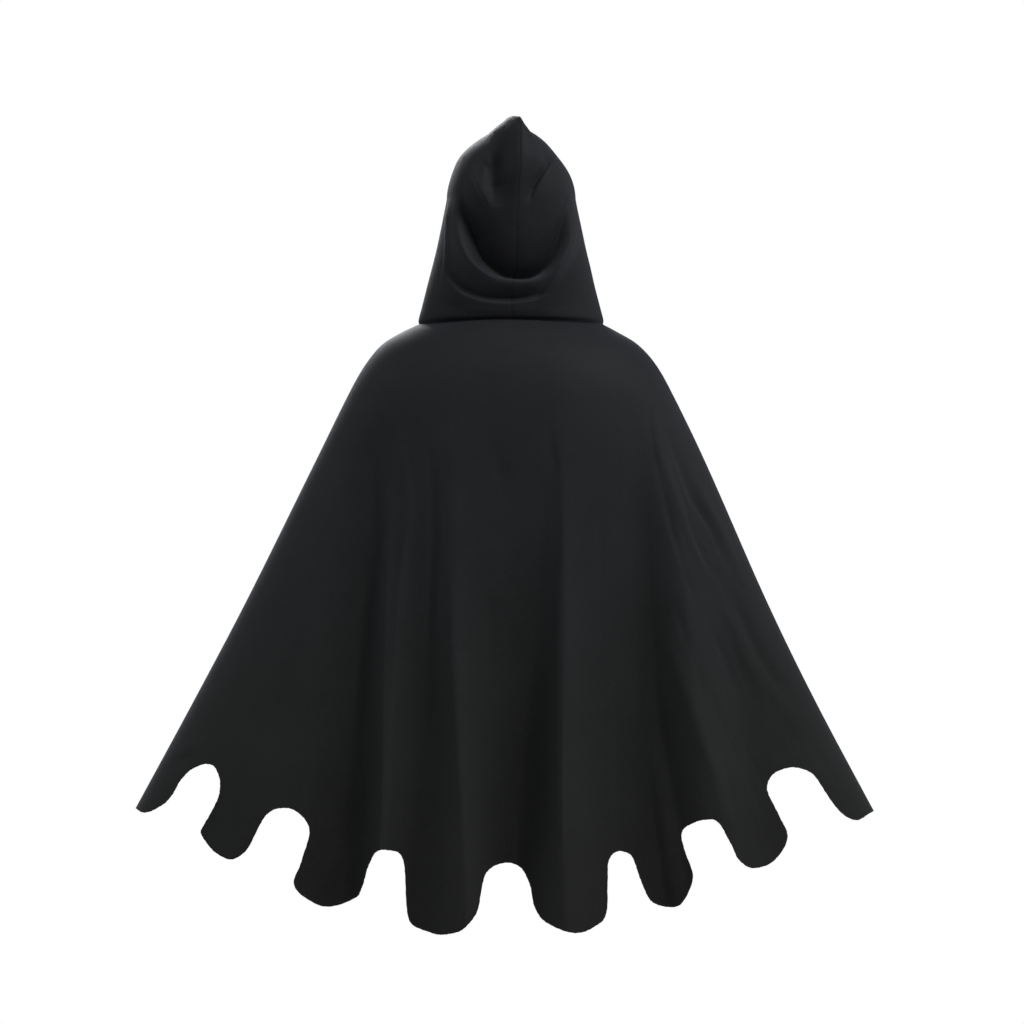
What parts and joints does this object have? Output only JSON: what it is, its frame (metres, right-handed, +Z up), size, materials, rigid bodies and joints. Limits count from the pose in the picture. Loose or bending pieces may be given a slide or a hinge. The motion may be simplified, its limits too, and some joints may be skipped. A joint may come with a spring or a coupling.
{
  "type": "hooded cloak",
  "caption": "Long flared hooded cloak in its worn form, with a pointed draped hood, folds down the body and a scalloped raw-cut hem.",
  "frame": {"origin": "middle of the neckline, where the wearer's neck and shoulders hold the cloak up", "axes": "+Z up, -Y the way the wearer faces, +X to the wearer's left"},
  "size_m": [1.085, 0.3847, 1.2184],
  "materials": {
    "cloth": "soft matte black woven cloth with a faint sheen, raw cut edges",
    "button": "plain black four-hole button, satin moulded"
  },
  "bodies": {
    "root": {"back": "cloth", "front_left": "cloth", "front_right": "cloth", "hood_left": "cloth", "hood_right": "cloth", "neck_button": "button"}
  },
  "joints": []
}
